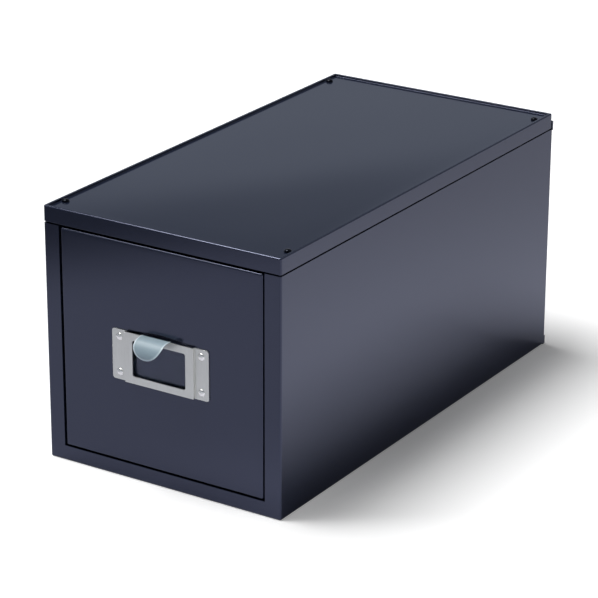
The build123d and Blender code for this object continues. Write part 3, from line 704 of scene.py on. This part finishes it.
def make_floor():
    """Pale floor, which keeps the object's shadow and looks white to the camera.

    Its shade is painted shade: a smooth line of stops along one direction, darker bands that stand in for
    less light on the floor, so that the object's front and side mirror different shades. Its faint blue is
    kept from the camera. What the painted shade and the key lamp's falloff take from white is given back to
    the camera alone. With v from the lamp to a place on the floor, n the lamp's direction and h its height,
    open floor gets light in proportion to (v . n) h over the fourth power of the length of v.
    """
    mesh = bpy.data.meshes.new("floor")
    r = FLOOR_REACH
    mesh.from_pydata([(-r, -r, 0), (r, -r, 0), (r, r, 0), (-r, r, 0)], [], [(0, 1, 2, 3)])
    floor = bpy.data.objects.new("floor", mesh)
    bpy.context.scene.collection.objects.link(floor)
    material = bpy.data.materials.new("pale_floor")
    tree, shader = node_tree_of(material)
    link = tree.links.new
    where = add_node(tree, "ShaderNodeTexCoord")

    def step(operation, first, second):
        """Math node on two values, each a number or a socket."""
        node = add_node(tree, "ShaderNodeMath", operation=operation)
        for k, value in enumerate((first, second)):
            if isinstance(value, (int, float)):
                node.inputs[k].default_value = value
            else:
                link(value, node.inputs[k])
        return node.outputs[0]

    def dot(first, vector):
        """Dot product of a vector socket with fixed numbers."""
        node = add_node(tree, "ShaderNodeVectorMath", operation="DOT_PRODUCT")
        link(first, node.inputs[0])
        node.inputs[1].default_value = vector
        return node.outputs["Value"]

    # Painted shade: the floor's colour goes darker and paler along this direction, for the object's gloss to
    # mirror
    along = dot(where.outputs["Object"], (sin(radians(FLOOR_TURN)), cos(radians(FLOOR_TURN)), 0))
    shade = shade_ramp(tree, along, FLOOR_PAINTED_SHADE_STOPS)
    path = add_node(tree, "ShaderNodeLightPath")
    tint = add_node(tree, "ShaderNodeMix", data_type="RGBA")
    link(path.outputs["Is Camera Ray"], tint.inputs["Factor"])
    tint.inputs[6].default_value, tint.inputs[7].default_value = (*FLOOR_TINT, 1), (1, 1, 1, 1)
    colour = add_node(tree, "ShaderNodeVectorMath", operation="MULTIPLY")
    link(shade, colour.inputs[0])
    link(tint.outputs[2], colour.inputs[1])
    link(colour.outputs[0], shader.inputs["Base Color"])
    shader.inputs["Roughness"].default_value = 0.9
    shader.inputs["Specular IOR Level"].default_value = 0.1

    lamp = Vector(KEY_PLACE)
    towards = (Vector(KEY_TARGET) - lamp).normalized()
    offset = add_node(tree, "ShaderNodeVectorMath", operation="SUBTRACT")
    link(where.outputs["Object"], offset.inputs[0])
    offset.inputs[1].default_value = lamp
    length = add_node(tree, "ShaderNodeVectorMath", operation="LENGTH")
    link(offset.outputs[0], length.inputs[0])
    facing = dot(offset.outputs[0], towards)
    falloff = step("DIVIDE", step("MULTIPLY", facing, lamp.z * KEY_POWER / pi ** 2),
                   step("POWER", length.outputs["Value"], 4.0))
    lit = step("MULTIPLY", shade, step("ADD", falloff, WORLD_FILL))
    missing = step("MAXIMUM", step("SUBTRACT", FLOOR_SEEN, lit), 0.0)
    shader.inputs["Emission Color"].default_value = (1, 1, 1, 1)
    link(step("MULTIPLY", missing, path.outputs["Is Camera Ray"]), shader.inputs["Emission Strength"])
    mesh.materials.append(material)


def make_world():
    """Surroundings with a strength of their own for fill light, for gloss and for the camera.

    What gloss mirrors is brighter near the horizon, and dims over a soft band of elevations above it.
    """
    world = bpy.data.worlds.new("surroundings")
    bpy.context.scene.world = world
    world.use_nodes = True
    tree = world.node_tree
    link = tree.links.new
    background, path = tree.nodes["Background"], add_node(tree, "ShaderNodeLightPath")
    where, split = add_node(tree, "ShaderNodeTexCoord"), add_node(tree, "ShaderNodeSeparateXYZ")
    link(where.outputs["Generated"], split.inputs[0])
    glow = shade_ramp(tree, split.outputs["Z"], WORLD_STOPS)
    gloss = add_node(tree, "ShaderNodeMix", data_type="FLOAT")
    link(path.outputs["Is Glossy Ray"], gloss.inputs["Factor"])
    gloss.inputs["A"].default_value = WORLD_FILL
    link(glow, gloss.inputs["B"])
    strength = gloss.outputs["Result"]
    for ray in ("Is Transmission Ray", "Is Camera Ray"):
        more = add_node(tree, "ShaderNodeMath", operation="MULTIPLY_ADD")
        link(path.outputs[ray], more.inputs[0])
        more.inputs[1].default_value = 1 - WORLD_FILL
        link(strength, more.inputs[2])
        strength = more.outputs[0]
    tint = add_node(tree, "ShaderNodeMix", data_type="RGBA")
    link(path.outputs["Is Glossy Ray"], tint.inputs["Factor"])
    tint.inputs[6].default_value, tint.inputs[7].default_value = (1, 1, 1, 1), (*WORLD_TINT, 1)
    link(tint.outputs[2], background.inputs["Color"])
    link(strength, background.inputs["Strength"])


def softbox(name, place, target, size, power):
    """Square area lamp that faces a target. Places are in metres."""
    light = bpy.data.lights.new(name, "AREA")
    light.shape, light.size, light.energy = "SQUARE", size, power
    lamp = bpy.data.objects.new(name, light)
    lamp.location = place
    lamp.rotation_euler = (Vector(target) - Vector(place)).to_track_quat("-Z", "Y").to_euler()
    bpy.context.scene.collection.objects.link(lamp)


def make_camera():
    """Camera at the photograph's viewing angle."""
    a, e = radians(VIEW_AZIMUTH), radians(VIEW_ELEVATION)
    back = Vector((sin(a) * cos(e), -cos(a) * cos(e), sin(e)))
    data = bpy.data.cameras.new("camera")
    data.lens, data.sensor_width = LENS, SENSOR
    camera = bpy.data.objects.new("camera", data)
    camera.location = (Vector(VIEW_TARGET) + back * VIEW_DISTANCE) * MM
    camera.rotation_euler = (-back).to_track_quat("-Z", "Y").to_euler()
    camera.rotation_euler.rotate_axis("Z", radians(VIEW_ROLL))
    bpy.context.scene.collection.objects.link(camera)
    bpy.context.scene.camera = camera


make_camera()
make_floor()
make_world()
softbox("key_softbox", KEY_PLACE, KEY_TARGET, KEY_SIZE, KEY_POWER)
softbox("glint_softbox", GLINT_PLACE, KEY_TARGET, GLINT_SIZE, GLINT_POWER)
bpy.context.scene.view_settings.view_transform = "Standard"

for node, obj in frame["nodes"].items():
    slot_name = next(row["material_slot"] for row in frame["record"]["subparts"] if row["node"] == node)
    obj.data.materials.clear()
    obj.data.materials.append(materials[slot_name])

make_cover()
make_studs()
make_drawer_front()
make_label_holder()
make_holder_rivets()
make_film()
